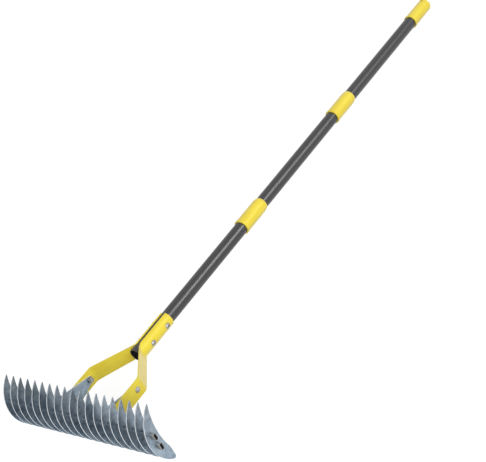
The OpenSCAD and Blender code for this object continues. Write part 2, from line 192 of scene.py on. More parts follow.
def makePowderCoat():
    material, tree, shader = startMaterial(
        "forkPaint", Specular_IOR_Level=powder["shine"],
        Sheen_Weight=powder["haze"], Sheen_Roughness=powder["hazeRough"],
    )
    place = objectPlace(tree)
    cloud = addNoise(tree, place, powder["cloud"], powder["cloudDetail"])
    peel = addNoise(tree, place, powder["peel"], powder["peelDetail"])
    feed(
        tree, shader,
        Base_Color=noiseColour(tree, cloud, powder["deep"], powder["base"]),
        Roughness=noiseRange(tree, peel, powder["rough"]),
        Normal=addBump(tree, peel, powder),
    )
    return material


moulded = {
    "base": (0.78, 0.625, 0.048), "deep": (0.71, 0.555, 0.033), "shine": 0.25, "haze": 0.3,
    "flow": 60.0, "flowDetail": 3.0, "flowStretch": (1.0, 0.25, 1.0), "flowEnds": (0.3, 0.65),
    "grain": 1500.0, "grainDetail": 2.0, "rough": (0.34, 0.46), "bump": 0.15, "bumpDepth": 0.05 * mm,
}


def makeYellowPlastic():
    material, tree, shader = startMaterial(
        "yellowPlastic", Specular_IOR_Level=moulded["shine"], Sheen_Weight=moulded["haze"]
    )
    place = objectPlace(tree)
    flow = addNoise(tree, place, moulded["flow"], moulded["flowDetail"], moulded["flowStretch"])
    grain = addNoise(tree, place, moulded["grain"], moulded["grainDetail"])
    stops = zip(moulded["flowEnds"], (moulded["deep"], moulded["base"]))
    feed(
        tree, shader,
        Base_Color=addRamp(tree, flow, *stops),
        Roughness=noiseRange(tree, grain, moulded["rough"]),
        Normal=addBump(tree, grain, moulded),
    )
    return material


plated = {
    # The edge colour is a painted highlight on the plate rims
    "face": (0.345, 0.42, 0.49), "shade": (0.135, 0.185, 0.245), "edge": (0.86, 0.89, 0.92),
    # The tip tint is painted shade on the upper tips
    "faceEnds": (0.25, 0.75), "tipShadeTint": (0.80, 0.75, 0.72), "tipHeight": 0.125, "lowHeight": 0.06,
    "spangle": 170.0, "spangleShare": 0.22, "streak": 50.0, "streakDetail": 5.0,
    "streakStretch": (1.0, 1.0, 4.0), "streakShare": 0.45, "blotch": 24.0, "blotchDetail": 4.0,
    "blotchShare": 0.45, "ownTone": (-0.06, 0.06), "highlightEnds": (0.9, 0.5), "highlightByTip": (1.0, 0.15),
    "metal": (0.9, 0.3), "roughEnds": (0.2, 0.9), "rough": (0.34, 0.5),
    "bump": 0.06, "bumpDepth": 0.08 * mm,
}


def makeTineSteel():
    material, tree, shader = startMaterial("tineSteel")
    place = objectPlace(tree)
    spangle = addNode(tree, "ShaderNodeTexVoronoi", Vector=place, Scale=plated["spangle"]).outputs["Color"]
    flake = addNode(tree, "ShaderNodeSeparateColor", Color=spangle).outputs[0]
    streak = addNoise(tree, place, plated["streak"], plated["streakDetail"], plated["streakStretch"])
    blotch = addNoise(tree, place, plated["blotch"], plated["blotchDetail"])
    own = addNode(tree, "ShaderNodeAttribute", {"attribute_name": "tone"}).outputs["Fac"]
    tone = addMath(tree, "MULTIPLY", streak, plated["streakShare"])
    tone = addMath(tree, "MULTIPLY_ADD", flake, plated["spangleShare"], tone)
    tone = addMath(tree, "MULTIPLY_ADD", blotch, plated["blotchShare"], tone)
    tone = addMath(tree, "ADD", tone, addRange(tree, own, 0.0, 1.0, *plated["ownTone"]))
    face = addRamp(tree, tone, *zip(plated["faceEnds"], (plated["shade"], plated["face"])))
    # Painted shade towards the upper tips: duller and less blue there, with the lower plate left bluer and
    # brighter as a painted reflection of the floor
    height = addNode(tree, "ShaderNodeSeparateXYZ", Vector=place).outputs[2]
    nearTip = addRange(tree, height, plated["lowHeight"], plated["tipHeight"], 0.0, 1.0)
    paintedTipShade = mixColour(tree, nearTip, (1, 1, 1, 1), (*plated["tipShadeTint"], 1))
    face = mixColour(tree, 1.0, face, paintedTipShade, "MULTIPLY")
    # Painted highlight: the rim of a plate, where its normal turns away from x, is painted bright and less
    # metallic, fading towards the upper tips
    normal = addNode(tree, "ShaderNodeTexCoord").outputs["Normal"]
    facing = addNode(tree, "ShaderNodeSeparateXYZ", Vector=normal).outputs[0]
    rim = addRange(tree, addMath(tree, "ABSOLUTE", facing), *plated["highlightEnds"], 0.0, 1.0)
    rim = addMath(tree, "MULTIPLY", rim, addRange(tree, nearTip, 0.0, 1.0, *plated["highlightByTip"]))
    feed(
        tree, shader,
        Base_Color=mixColour(tree, rim, face, (*plated["edge"], 1)),
        Metallic=addRange(tree, rim, 0.0, 1.0, *plated["metal"]),
        Roughness=addRange(tree, tone, *plated["roughEnds"], *plated["rough"]),
        Normal=addBump(tree, streak, plated),
    )
    return material


zinc = {
    "bright": (0.40, 0.395, 0.38), "dull": (0.25, 0.247, 0.243), "rough": (0.46, 0.34),
    "cloud": 300.0, "cloudDetail": 3.0,
}
barZinc = {
    "bright": (0.22, 0.245, 0.265), "dull": (0.10, 0.12, 0.14), "rough": (0.60, 0.48),
    "cloud": 300.0, "cloudDetail": 3.0,
}


def makeZinc(name, look):
    material, tree, shader = startMaterial(name, Metallic=1.0)
    cloud = addNoise(tree, objectPlace(tree), look["cloud"], look["cloudDetail"])
    feed(
        tree, shader,
        Base_Color=noiseColour(tree, cloud, look["dull"], look["bright"]),
        Roughness=noiseRange(tree, cloud, look["rough"]),
    )
    return material


insert = {
    "base": (0.018, 0.018, 0.020), "pale": (0.030, 0.030, 0.033), "rough": 0.5,
    "cloud": 200.0, "cloudDetail": 3.0,
}


def makeInsertPlastic():
    material, tree, shader = startMaterial("insertPlastic", Roughness=insert["rough"])
    cloud = addNoise(tree, objectPlace(tree), insert["cloud"], insert["cloudDetail"])
    feed(tree, shader, Base_Color=noiseColour(tree, cloud, insert["base"], insert["pale"]))
    return material


tubeCoat = makeTubeCoat()
forkPaint = makePowderCoat()
yellowPlastic = makeYellowPlastic()
tineSteel = makeTineSteel()
zincHardware = makeZinc("zincHardware", zinc)
barSteel = makeZinc("barSteel", barZinc)
insertPlastic = makeInsertPlastic()
print("materials made")

finishOf = {
    "lower_tube": tubeCoat, "middle_tube": tubeCoat, "upper_tube": tubeCoat,
    "lower_collar": yellowPlastic, "upper_collar": yellowPlastic, "end_cap": yellowPlastic,
    "fork_arm_left": forkPaint, "fork_arm_right": forkPaint,
    "lower_socket": insertPlastic, "upper_socket": insertPlastic,
    "lower_stud": insertPlastic, "upper_stud": insertPlastic,
}
for name, node in nodes.items():
    finish = finishOf.get(name, tineSteel if name.startswith("tine") else zincHardware)
    node.data.materials.clear()
    node.data.materials.append(finish)
print("frame dressed", len(nodes))


# Ways of making a piece, all in mm and in the rake's own axes

# Edges that turn more than this many degrees stay sharp
sharp = {"tine": 10.0, "bar": 40.0, "fork": 40.0, "tube": 35.0, "plastic": 25.0, "bolt": 35.0, "nut": 25.0}


def linkObject(name, data):
    thing = bpy.data.objects.new(name, data)
    scene.collection.objects.link(thing)
    return thing


def bakeMesh(source):
    evaluated = source.evaluated_get(bpy.context.evaluated_depsgraph_get())
    mesh = bpy.data.meshes.new_from_object(evaluated)
    bpy.data.objects.remove(source)
    return mesh


def weldMesh(mesh, reach):
    form = bmesh.new()
    form.from_mesh(mesh)
    bmesh.ops.remove_doubles(form, verts=form.verts, dist=reach)
    bmesh.ops.recalc_face_normals(form, faces=form.faces)
    form.to_mesh(mesh)
    form.free()
    return mesh


def settle(name, mesh, finish, body, replaced, sharpAngle):
    mesh.transform(toPlace)
    mesh.materials.clear()
    mesh.materials.append(finish)
    mesh.polygons.foreach_set("use_smooth", [True] * len(mesh.polygons))
    mesh.set_sharp_from_angle(angle=math.radians(sharpAngle))
    mesh.name = name
    piece = linkObject(name, mesh)
    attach(piece, body)
    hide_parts(*replaced)
    return piece


def arcPoints(centre, radius, start, end, count):
    turns = [math.radians(start + (end - start) * i / count) for i in range(count + 1)]
    return [(centre[0] + radius * math.cos(t), centre[1] + radius * math.sin(t)) for t in turns]


def circlePoints(centre, radius, sides=24):
    return arcPoints(centre, radius, 0, 360 - 360 / sides, sides - 1)


def angleTo(centre, point):
    return math.degrees(math.atan2(point[1] - centre[1], point[0] - centre[0]))


def oblongPoints(centre, width, height, count=14):
    run = (width - height) / 2
    rearEnd = arcPoints((centre[0] + run, centre[1]), height / 2, -90, 90, count)
    frontEnd = arcPoints((centre[0] - run, centre[1]), height / 2, 90, 270, count)
    return rearEnd + frontEnd


# A plate cut to loops of (y, h), with rounded edges, centred on x = 0
def plateMesh(name, loops, thickness, edge):
    curve = bpy.data.curves.new(name, "CURVE")
    curve.dimensions = "2D"
    curve.fill_mode = "BOTH"
    curve.extrude = thickness / 2 - edge
    curve.bevel_depth = edge
    curve.bevel_resolution = 2
    curve.offset = -edge
    for loop in loops:
        spline = curve.splines.new("POLY")
        spline.points.add(len(loop) - 1)
        for point, place in zip(spline.points, loop):
            point.co = (*place, 0, 1)
        spline.use_cyclic_u = True
    mesh = bakeMesh(linkObject(name, curve))
    bpy.data.curves.remove(curve)
    mesh.transform(Matrix(((0, 0, 1, 0), (1, 0, 0, 0), (0, 1, 0, 0), (0, 0, 0, 1))))
    return weldMesh(mesh, 0.002)


# A turned piece about h: rings of (radius, height), either of which may change round the ring
def turnedMesh(name, rings, segments, closed=False, wrapRadius=1.0):
    mesh = bpy.data.meshes.new(name)
    turns = [2 * math.pi * j / segments for j in range(segments)]
    points = []
    heights = []
    for radius, height in rings:
        for turn in turns:
            r = radius(turn) if callable(radius) else radius
            h = height(turn) if callable(height) else height
            points.append((r * math.cos(turn), r * math.sin(turn), h))
            heights.append(h)
    count = len(rings)
    step = 2 * math.pi * wrapRadius / segments * mm
    faces = []
    wraps = []
    for i in range(count if closed else count - 1):
        k = (i + 1) % count
        for j in range(segments):
            n = (j + 1) % segments
            faces.append((i * segments + j, i * segments + n, k * segments + n, k * segments + j))
            low = heights[i * segments + j] * mm
            high = heights[k * segments + j] * mm
            wraps += [(j * step, low), ((j + 1) * step, low), ((j + 1) * step, high), (j * step, high)]
    if not closed:
        faces.append(tuple(reversed(range(segments))))
        faces.append(tuple((count - 1) * segments + j for j in range(segments)))
        wraps += [(0.0, 0.0)] * (2 * segments)
    mesh.from_pydata(points, [], faces)
    wrapMap = mesh.uv_layers.new(name="wrap")
    wrapMap.data.foreach_set("uv", [value for wrap in wraps for value in wrap])
    return mesh


# Round holes, each from a start to an end with a radius
def cutHoles(mesh, holes):
    source = linkObject("blank", mesh)
    drills = []
    for start, end, radius in holes:
        way = Vector(end) - Vector(start)
        middle = (Vector(start) + Vector(end)) / 2
        drill = bpy.data.meshes.new("drill")
        form = bmesh.new()
        size = {"radius1": radius, "radius2": radius, "depth": way.length}
        bmesh.ops.create_cone(form, cap_ends=True, segments=40, **size)
        form.to_mesh(drill)
        form.free()
        drill.transform(Matrix.Translation(middle) @ way.to_track_quat("Z", "Y").to_matrix().to_4x4())
        drills.append(linkObject("drill", drill))
        cutter = source.modifiers.new("hole", "BOOLEAN")
        cutter.operation = "DIFFERENCE"
        cutter.solver = "EXACT"
        cutter.object = drills[-1]
    result = bakeMesh(source)
    for drill in drills:
        bpy.data.objects.remove(drill)
    return result


# One piece set out along a line, with a tone of its own for each copy
def makeRepeatTree():
    tree = bpy.data.node_groups.new("repeatPiece", "GeometryNodeTree")
    sockets = {
        "piece": "Geometry", "count": "Int", "start": "Vector", "step": "Vector", "turnStep": "Float",
        "skipFromMiddle": "Float", "seed": "Int", "finish": "Material",
    }
    for name, kind in sockets.items():
        tree.interface.new_socket(name, in_out="INPUT", socket_type="NodeSocket" + kind)
    tree.interface.new_socket("pieces", in_out="OUTPUT", socket_type="NodeSocketGeometry")
    given = tree.nodes.new("NodeGroupInput").outputs
    index = addNode(tree, "GeometryNodeInputIndex").outputs[0]
    line = addNode(
        tree, "GeometryNodeMeshLine", {"mode": "OFFSET"},
        Count=given["count"], Start_Location=given["start"], Offset=given["step"],
    )
    last = addMath(tree, "SUBTRACT", given["count"], 1.0)
    fromMiddle = addMath(tree, "ABSOLUTE", addMath(tree, "MULTIPLY_ADD", last, -0.5, index))
    skipped = addMath(tree, "COMPARE", fromMiddle, given["skipFromMiddle"], 0.25)
    places = addNode(tree, "GeometryNodeDeleteGeometry", Geometry=line.outputs[0], Selection=skipped)
    turn = addNode(tree, "ShaderNodeCombineXYZ", Z=addMath(tree, "MULTIPLY", index, given["turnStep"]))
    turned = addNode(tree, "FunctionNodeEulerToRotation", Euler=turn.outputs[0])
    copies = addNode(
        tree, "GeometryNodeInstanceOnPoints",
        Points=places.outputs[0], Instance=given["piece"], Rotation=turned.outputs[0],
    )
    tone = addNode(tree, "FunctionNodeRandomValue", {"data_type": "FLOAT"}, ID=index, Seed=given["seed"])
    toned = addNode(
        tree, "GeometryNodeStoreNamedAttribute", {"data_type": "FLOAT", "domain": "INSTANCE"},
        Geometry=copies.outputs[0], Name="tone", Value=tone.outputs[1],
    )
    real = addNode(tree, "GeometryNodeRealizeInstances", Geometry=toned.outputs[0])
    dressed = addNode(tree, "GeometryNodeSetMaterial", Geometry=real.outputs[0], Material=given["finish"])
    result = tree.nodes.new("NodeGroupOutput")
    tree.links.new(dressed.outputs[0], result.inputs[0])
    return tree


repeatTree = makeRepeatTree()


def repeatMesh(mesh, finish, count, start, step, turnStep=0.0, skipFromMiddle=-1.0, seed=7):
    source = linkObject("single", mesh)
    repeat = source.modifiers.new("repeat", "NODES")
    repeat.node_group = repeatTree
    values = {
        "count": count, "start": start, "step": step, "turnStep": turnStep,
        "skipFromMiddle": skipFromMiddle, "seed": seed, "finish": finish,
    }
    for item in repeatTree.interface.items_tree:
        if item.name in values:
            repeat[item.identifier] = values[item.name]
    return bakeMesh(source)


# Tines

row = {"count": 19, "pitch": 21.0, "bracketStep": 3, "bracketSeed": 11}
tine = {
    "thickness": 2.0, "edge": 0.25, "chord": 130.0, "shift": 1.5, "convex": 40.5, "concave": 12.2,
    "lead": 6.0, "frontTip": 0.9, "rearDepth": 7.3, "rearRound": 4.0,
}
bar = {
    "width": 15.6, "height": 7.4, "wall": 1.2, "fronts": (-12.0, 11.0), "depth": 25.7, "half": 199.0,
    "clear": 0.1, "edge": 0.25,
}
bracket = {
    "topRadius": 7.0, "sideAngle": 16.0, "fillet": 10.0, "lockRadius": 48.5, "tilt": 12.0,
    "seat": 4.2, "neck": 3.3,
}
outlineSteps = {
    "convex": 70, "rearTip": 14, "concave": 60, "beforeBracket": 24, "fillet": 16, "top": 32, "slot": 96,
}


def circleThrough(half, depth):
    return (half * half + depth * depth) / (2 * depth)


convexRadius = circleThrough(tine["chord"] / 2, tine["convex"])
concaveRadius = circleThrough(tine["chord"] / 2 - tine["lead"], tine["concave"])
convexMid = (tine["shift"], convexRadius - tine["convex"])
concaveMid = (tine["shift"] - tine["lead"], concaveRadius - tine["concave"])
flatStart = concaveMid[0] + math.sqrt(concaveRadius ** 2 - (concaveMid[1] + tine["rearDepth"]) ** 2)


def frontTipPoints():
    steep = 2 * math.atan(2 * tine["convex"] / tine["chord"])
    flat = 2 * math.atan(tine["concave"] / (tine["chord"] / 2 - tine["lead"]))
    axis = (steep + flat) / 2
    half = tine["frontTip"] / 2
    back = half / math.tan((steep - flat) / 2)
    middle = (tine["shift"] - tine["chord"] / 2 + back * math.cos(axis), -back * math.sin(axis))
    upper = (middle[0] + half * math.sin(axis), middle[1] + half * math.cos(axis))
    lower = (middle[0] - half * math.sin(axis), middle[1] - half * math.cos(axis))
    return upper, lower


tipUpper, tipLower = frontTipPoints()


# From the front tip's lower corner round the convex edge, by the rear tip, to the flat rear end
def undersidePoints():
    rearH = -tine["rearDepth"] - tine["rearRound"]
    rearRun = math.sqrt((convexRadius - tine["rearRound"]) ** 2 - (convexMid[1] - rearH) ** 2)
    rearMid = (tine["shift"] + rearRun, rearH)
    start = angleTo(convexMid, tipLower)
    leave = angleTo(convexMid, rearMid)
    convexEdge = arcPoints(convexMid, convexRadius, start, leave, outlineSteps["convex"])
    rearTip = arcPoints(rearMid, tine["rearRound"], leave, 90, outlineSteps["rearTip"])
    return convexEdge + rearTip[1:]


def concavePoints(startY, endY, count):
    points = []
    for i in range(count + 1):
        y = startY + (endY - startY) * i / count
        points.append((y, concaveMid[1] - math.sqrt(concaveRadius ** 2 - (y - concaveMid[0]) ** 2)))
    return points


def plainOutline():
    return undersidePoints() + concavePoints(flatStart, tipUpper[0], outlineSteps["concave"])


def bracketOutline():
    sideTurn = bracket["sideAngle"]
    side = math.radians(sideTurn)
    normal = Vector((math.cos(side), math.sin(side)))
    down = Vector((math.sin(side), -math.cos(side)))
    pivot = Vector((0, pivotHeight))
    fillet = bracket["fillet"]
    start = pivot + normal * (bracket["topRadius"] + fillet)
    rearMid = start + down * ((start.y + tine["rearDepth"] - fillet) / math.cos(side))
    # The front fillet is found on the rear side and mirrored
    mirrorMid = Vector((-concaveMid[0], concaveMid[1]))
    offset = start - mirrorMid
    along = offset.dot(down)
    reach = concaveRadius - fillet
    frontMid = start + down * (math.sqrt(along * along - offset.length_squared + reach * reach) - along)
    meet = angleTo(mirrorMid, frontMid)
    steps = outlineSteps["fillet"]
    rearFillet = arcPoints(rearMid, fillet, 270, 180 + sideTurn, steps)
    top = arcPoints(pivot, bracket["topRadius"], sideTurn, 180 - sideTurn, outlineSteps["top"])
    frontFillet = arcPoints((-frontMid.x, frontMid.y), fillet, -sideTurn, -180 - meet, steps)
    front = concavePoints(frontFillet[-1][0], tipUpper[0], outlineSteps["beforeBracket"])
    return undersidePoints() + rearFillet + top + frontFillet + front[1:]


# A curved slot about the pivot, with three wider seats for the lock bolt
def lockSlotPoints():
    lockRadius = bracket["lockRadius"]
    far = bracket["tilt"] + math.degrees(math.asin(bracket["seat"] / lockRadius))
    count = outlineSteps["slot"]
    slack = 1e-6
    outer = []
    inner = []
    for i in range(count + 1):
        turn = -far * math.cos(math.pi * i / count)
        spans = []
        if abs(turn) <= bracket["tilt"]:
            spans.append((lockRadius - bracket["neck"], lockRadius + bracket["neck"]))
        for seatTurn in (-bracket["tilt"], 0.0, bracket["tilt"]):
            offset = math.radians(turn - seatTurn)
            inside = bracket["seat"] ** 2 - (lockRadius * math.sin(offset)) ** 2
            if inside >= -slack:
                middle = lockRadius * math.cos(offset)
                halfChord = math.sqrt(max(inside, 0.0))
                spans.append((middle - halfChord, middle + halfChord))
        low = min(span[0] for span in spans)
        high = max(span[1] for span in spans)
        way = math.radians(turn)
        inner.append((low * math.sin(way), pivotHeight - low * math.cos(way)))
        outer.append((high * math.sin(way), pivotHeight - high * math.cos(way)))
    return outer + inner[-2:0:-1]


def barLoop(y, grow):
    return oblongPoints((y, -bar["depth"]), bar["width"] + 2 * grow, bar["height"] + 2 * grow)


barHoles = [barLoop(y, bar["clear"]) for y in bar["fronts"]]
rowStart = (-(row["count"] - 1) / 2 * row["pitch"], 0, 0)
rowStep = (row["pitch"], 0, 0)


def addTines():
    plain = plateMesh("plainTine", [plainOutline()] + barHoles, tine["thickness"], tine["edge"])
    plain = repeatMesh(plain, tineSteel, row["count"], rowStart, rowStep, 0.0, row["bracketStep"])
    middle = (row["count"] + 1) // 2
    bracketNumbers = (middle - row["bracketStep"], middle + row["bracketStep"])
    plainNames = ["tine_%02d" % i for i in range(1, row["count"] + 1) if i not in bracketNumbers]
    settle("plainTines", plain, tineSteel, "head", plainNames, sharp["tine"])
    cuts = barHoles + [circlePoints((0, pivotHeight), boltHole), lockSlotPoints()]
    tabbed = plateMesh("bracketTine", [bracketOutline()] + cuts, tine["thickness"], tine["edge"])
    reach = row["bracketStep"] * row["pitch"]
    tabbed = repeatMesh(tabbed, tineSteel, 2, (-reach, 0, 0), (2 * reach, 0, 0), seed=row["bracketSeed"])
    bracketNames = ["tine_%02d" % i for i in bracketNumbers]
    settle("bracketTines", tabbed, tineSteel, "head", bracketNames, sharp["tine"])


addTines()
print("tines made")


# Crossbars and the spacer sleeves on them

spacer = {"wall": 1.2, "edge": 0.3}


# Painted shade: the faces that look towards the bar's own axis get the near-black insert plastic, standing
# in for the shade inside the bar
def paintBoreShade(mesh, axis):
    mesh.materials.append(insertPlastic)
    for face in mesh.polygons:
        outward = face.center - axis
        outward.x = 0
        if abs(face.normal.x) < 0.5 and face.normal.dot(outward) < 0:
            face.material_index = 1


def addCrossbars():
    first = (rowStart[0] + row["pitch"] / 2, 0, 0)
    spacerLength = row["pitch"] - tine["thickness"]
    for side, y in zip(("front", "rear"), bar["fronts"]):
        loops = [barLoop(y, 0.0), barLoop(y, -bar["wall"])]
        tube = plateMesh("crossbar", loops, 2 * bar["half"], bar["edge"])
        piece = settle(
            side + "Crossbar", tube, zincHardware, "head", [side + "_crossbar"], sharp["bar"]
        )
        paintBoreShade(piece.data, toPlace @ Vector((0, y, -bar["depth"])))
        loops = [barLoop(y, bar["clear"] + spacer["wall"]), barLoop(y, bar["clear"])]
        sleeve = plateMesh("spacer", loops, spacerLength, spacer["edge"])
        sleeves = repeatMesh(sleeve, barSteel, row["count"] - 1, first, rowStep)
        settle(
            side + "Spacers", sleeves, barSteel, "head", [side + "_spacers"], sharp["bar"]
        )


addCrossbars()
print("crossbars made")


# Fork arms: a half sleeve that opens along a crease into a flat flare, a bend and a strip

fork = {
    "sheet": 2.2, "width": 33.0, "stripX": 65.4, "stripEnd": 11.5, "corner": 2.5, "lowerBend": 78.0,
    "upperBend": 146.0, "bendRadius": 16.0, "crease": 5.0, "sleeveInside": 13.9, "seamGap": 8.0,
    "sleeveRise": 5.5, "sleeveLength": 72.0, "edge": 0.35, "edgeAngle": 50.0, "weld": 0.0005,
    "boltRise": 9.5, "boltDrop": 17.0, "drill": 5.0, "drillOut": 20.0,
}
armSteps = {"across": 40, "sleeve": 8, "crease": 12, "flare": 4, "bend": 12, "strip": 8}
sleeveMid = fork["sleeveInside"] + fork["sheet"] / 2
sleeveHalf = math.pi / 2 - math.asin(fork["seamGap"] / 2 / fork["sleeveInside"])
flareFall = fork["upperBend"] - fork["lowerBend"]
flareSide = fork["bendRadius"] - (fork["stripX"] - sleeveMid)
flareReach = math.hypot(flareFall, flareSide)
flareTurn = math.atan2(flareFall, flareSide) - math.acos(fork["bendRadius"] / flareReach)


def creaseHeight(turn):
    return fork["upperBend"] + sleeveMid * (1 - math.cos(turn)) / math.tan(flareTurn)


sleeveLow = creaseHeight(sleeveHalf) + fork["crease"] + fork["sleeveRise"]
sleeveTop = sleeveLow + fork["sleeveLength"]
boltHeights = {
    "pivot": pivotHeight, "lock": pivotHeight - bracket["lockRadius"], "low": sleeveLow + fork["boltRise"],
}
handleBoltStep = sleeveTop - fork["boltDrop"] - boltHeights["low"]
handleBoltHeights = (boltHeights["low"], boltHeights["low"] + handleBoltStep)


def bendPoint(y, turn):
    x = fork["stripX"] - fork["bendRadius"] * (1 - math.cos(turn))
    return Vector((x, y, fork["lowerBend"] + fork["bendRadius"] * math.sin(turn)))


# One line down the middle of the sheet, share runs from -1 at one edge to 1 at the other
def armStrand(share):
    turn = share * sleeveHalf
    y = share * fork["width"] / 2
    rolled = Vector((sleeveMid * math.cos(turn), sleeveMid * math.sin(turn), 0))
    crease = rolled + Vector((0, 0, creaseHeight(turn)))
    bendStart = bendPoint(y, flareTurn)
    above = crease + Vector((0, 0, fork["crease"]))
    below = crease + (bendStart - crease).normalized() * fork["crease"]
    points = []
    for i in range(armSteps["sleeve"]):
        height = sleeveTop + (above.z - sleeveTop) * i / armSteps["sleeve"]
        points.append(rolled + Vector((0, 0, height)))
    for i in range(armSteps["crease"] + 1):
        u = i / armSteps["crease"]
        points.append(above * (1 - u) ** 2 + crease * 2 * u * (1 - u) + below * u * u)
    points += [below.lerp(bendStart, i / armSteps["flare"]) for i in range(1, armSteps["flare"])]
    for i in range(armSteps["bend"] + 1):
        points.append(bendPoint(y, flareTurn * (1 - i / armSteps["bend"])))
    intoCorner = max(abs(y) - fork["width"] / 2 + fork["corner"], 0.0)
    end = fork["stripEnd"] + fork["corner"] - math.sqrt(fork["corner"] ** 2 - intoCorner ** 2)
    for i in range(1, armSteps["strip"] + 1):
        height = fork["lowerBend"] + (end - fork["lowerBend"]) * i / armSteps["strip"]
        points.append(Vector((fork["stripX"], y, height)))
    return points


def armMesh(side):
    across = armSteps["across"]
    shares = [math.sin(math.pi / 2 * (2 * j / across - 1)) for j in range(across + 1)]
    strands = [armStrand(share) for share in shares]
    length = len(strands[0])
    points = [(side * p.x, p.y, p.z) for strand in strands for p in strand]
    faces = []
    for j in range(across):
        for i in range(length - 1):
            quad = (j * length + i, j * length + i + 1, (j + 1) * length + i + 1, (j + 1) * length + i)
            faces.append(quad if side > 0 else tuple(reversed(quad)))
    mesh = bpy.data.meshes.new("armSheet")
    mesh.from_pydata(points, [], faces)
    source = linkObject("armSheet", mesh)
    wall = source.modifiers.new("sheet", "SOLIDIFY")
    wall.thickness = fork["sheet"]
    wall.offset = 0.0
    wall.use_even_offset = True
    soften = source.modifiers.new("edge", "BEVEL")
    soften.width = fork["edge"]
    soften.segments = 2
    soften.limit_method = "ANGLE"
    soften.angle_limit = math.radians(fork["edgeAngle"])
    solid = weldMesh(bakeMesh(source), fork["weld"])
    stripIn = side * (fork["stripX"] - fork["drill"])
    stripOut = side * (fork["stripX"] + fork["drill"])
    holes = []
    for height in (boltHeights["pivot"], boltHeights["lock"]):
        holes.append(((stripIn, 0, height), (stripOut, 0, height), boltHole))
    for height in handleBoltHeights:
        holes.append(((side * fork["drill"], 0, height), (side * fork["drillOut"], 0, height), boltHole))
    return cutHoles(solid, holes)


settle("forkArmRight", armMesh(1), forkPaint, "handle", ["fork_arm_right"], sharp["fork"])
settle("forkArmLeft", armMesh(-1), forkPaint, "handle", ["fork_arm_left"], sharp["fork"])
print("fork made")


# Handle tubes, collars and cap

handle = {
    "tubeRadius": 13.7, "wall": 1.2, "belowSleeve": 27.0, "joints": (542.5, 908.5), "tubeTop": 1291.0,
    "endRound": 0.3, "sides": 72,
}
collar = {
    "length": 75.0, "radius": 16.1, "bore": 13.8, "bead": 4.0, "rise": 0.5, "shoulder": 7.0, "drop": 1.4,
    "curl": 0.4, "lip": 0.2, "trim": 0.1, "run": 0.6, "slopeRun": 0.8, "tipRound": 0.5, "tipTurn": 10.0,
}
cap = {
    "low": 1236.0, "length": 77.0, "radius": 15.6, "round": 6.0, "roundSteps": 12, "run": 0.5,
    "solidEnd": 22.0, "floorPinch": 0.05, "crown": 0.6, "hangRadius": 4.0, "hangDrop": 11.0, "drill": 25.0,
}


def addTubes():
    names = ("lower_tube", "middle_tube", "upper_tube")
    stops = (sleeveLow - handle["belowSleeve"], *handle["joints"], handle["tubeTop"])
    outside = handle["tubeRadius"]
    inside = outside - handle["wall"]
    trim = handle["endRound"]
    for name, low, high in zip(names, stops, stops[1:]):
        rings = [
            (inside, low + trim), (inside + trim, low), (outside - trim, low), (outside, low + trim),
            (outside, high - trim), (outside - trim, high), (inside + trim, high), (inside, high - trim),
        ]
        tube = turnedMesh(name, rings, handle["sides"], True, outside)
        if name == "lower_tube":
            out = fork["drillOut"]
            holes = [((-out, 0, height), (out, 0, height), boltHole) for height in handleBoltHeights]
            tube = cutHoles(tube, holes)
        settle(name.replace("_t", "T"), tube, tubeCoat, "handle", [name], sharp["tube"])


def roundedStep(r, h, size, startTurn, endTurn):
    third = (endTurn - startTurn) / 3
    turns = [math.radians(turn) for turn in (startTurn, startTurn + third, endTurn - third, endTurn)]
    return [(r + size * math.cos(turn), h + size * math.sin(turn)) for turn in turns]


# The bead at the lower end of a collar or the cap
def beadRings(radius, low):
    curl = collar["curl"]
    middle = radius + collar["rise"] - curl
    high = low + collar["bead"]
    rings = [(radius - collar["lip"], low)]
    rings += roundedStep(middle, low + curl, curl, -90, 0)
    rings += roundedStep(middle, high - curl, curl, 0, 90)
    rings += [(radius, high + collar["trim"]), (radius, high + collar["run"])]
    return rings


def addCollars():
    radius = collar["radius"]
    bore = collar["bore"]
    tipRound = collar["tipRound"]
    for name, joint in zip(("lower", "upper"), handle["joints"]):
        low = joint - collar["length"] / 2
        high = joint + collar["length"] / 2
        shoulder = high - collar["shoulder"]
        rings = [(bore, low), (bore + collar["lip"], low)]
        rings += beadRings(radius, low)
        rings += [(radius, shoulder - collar["run"]), (radius, shoulder)]
        rings += [(radius - collar["trim"], shoulder + collar["slopeRun"])]
        tip = radius - collar["drop"] - tipRound
        rings += roundedStep(tip, high - tipRound, tipRound, collar["tipTurn"], 90)
        rings += [(bore + collar["lip"], high), (bore, high)]
        form = turnedMesh(name + "Collar", rings, handle["sides"], True)
        settle(
            name + "Collar", form, yellowPlastic, "handle", [name + "_collar"],
            sharp["plastic"],
        )


def addCap():
    top = cap["low"] + cap["length"]
    bore = collar["bore"]
    lip = collar["lip"]
    floorH = top - cap["solidEnd"]
    rings = [(bore * cap["floorPinch"], floorH), (bore - lip, floorH), (bore, floorH - lip)]
    rings += [(bore, cap["low"]), (bore + lip, cap["low"])]
    rings += beadRings(cap["radius"], cap["low"])
    middle = cap["radius"] - cap["round"]
    roundLow = top - cap["round"]
    rings.append((cap["radius"], roundLow - cap["run"]))
    rings += arcPoints((middle, roundLow), cap["round"], 0, 90, cap["roundSteps"])
    rings.append((cap["crown"], top))
    form = turnedMesh("endCap", rings, handle["sides"])
    hang = top - cap["hangDrop"]
    form = cutHoles(form, [((0, -cap["drill"], hang), (0, cap["drill"], hang), cap["hangRadius"])])
    settle("endCap", form, yellowPlastic, "handle", ["end_cap"], sharp["plastic"])


addTubes()
addCollars()
addCap()
print("handle made")


# Bolts and nuts, seat at x = 0

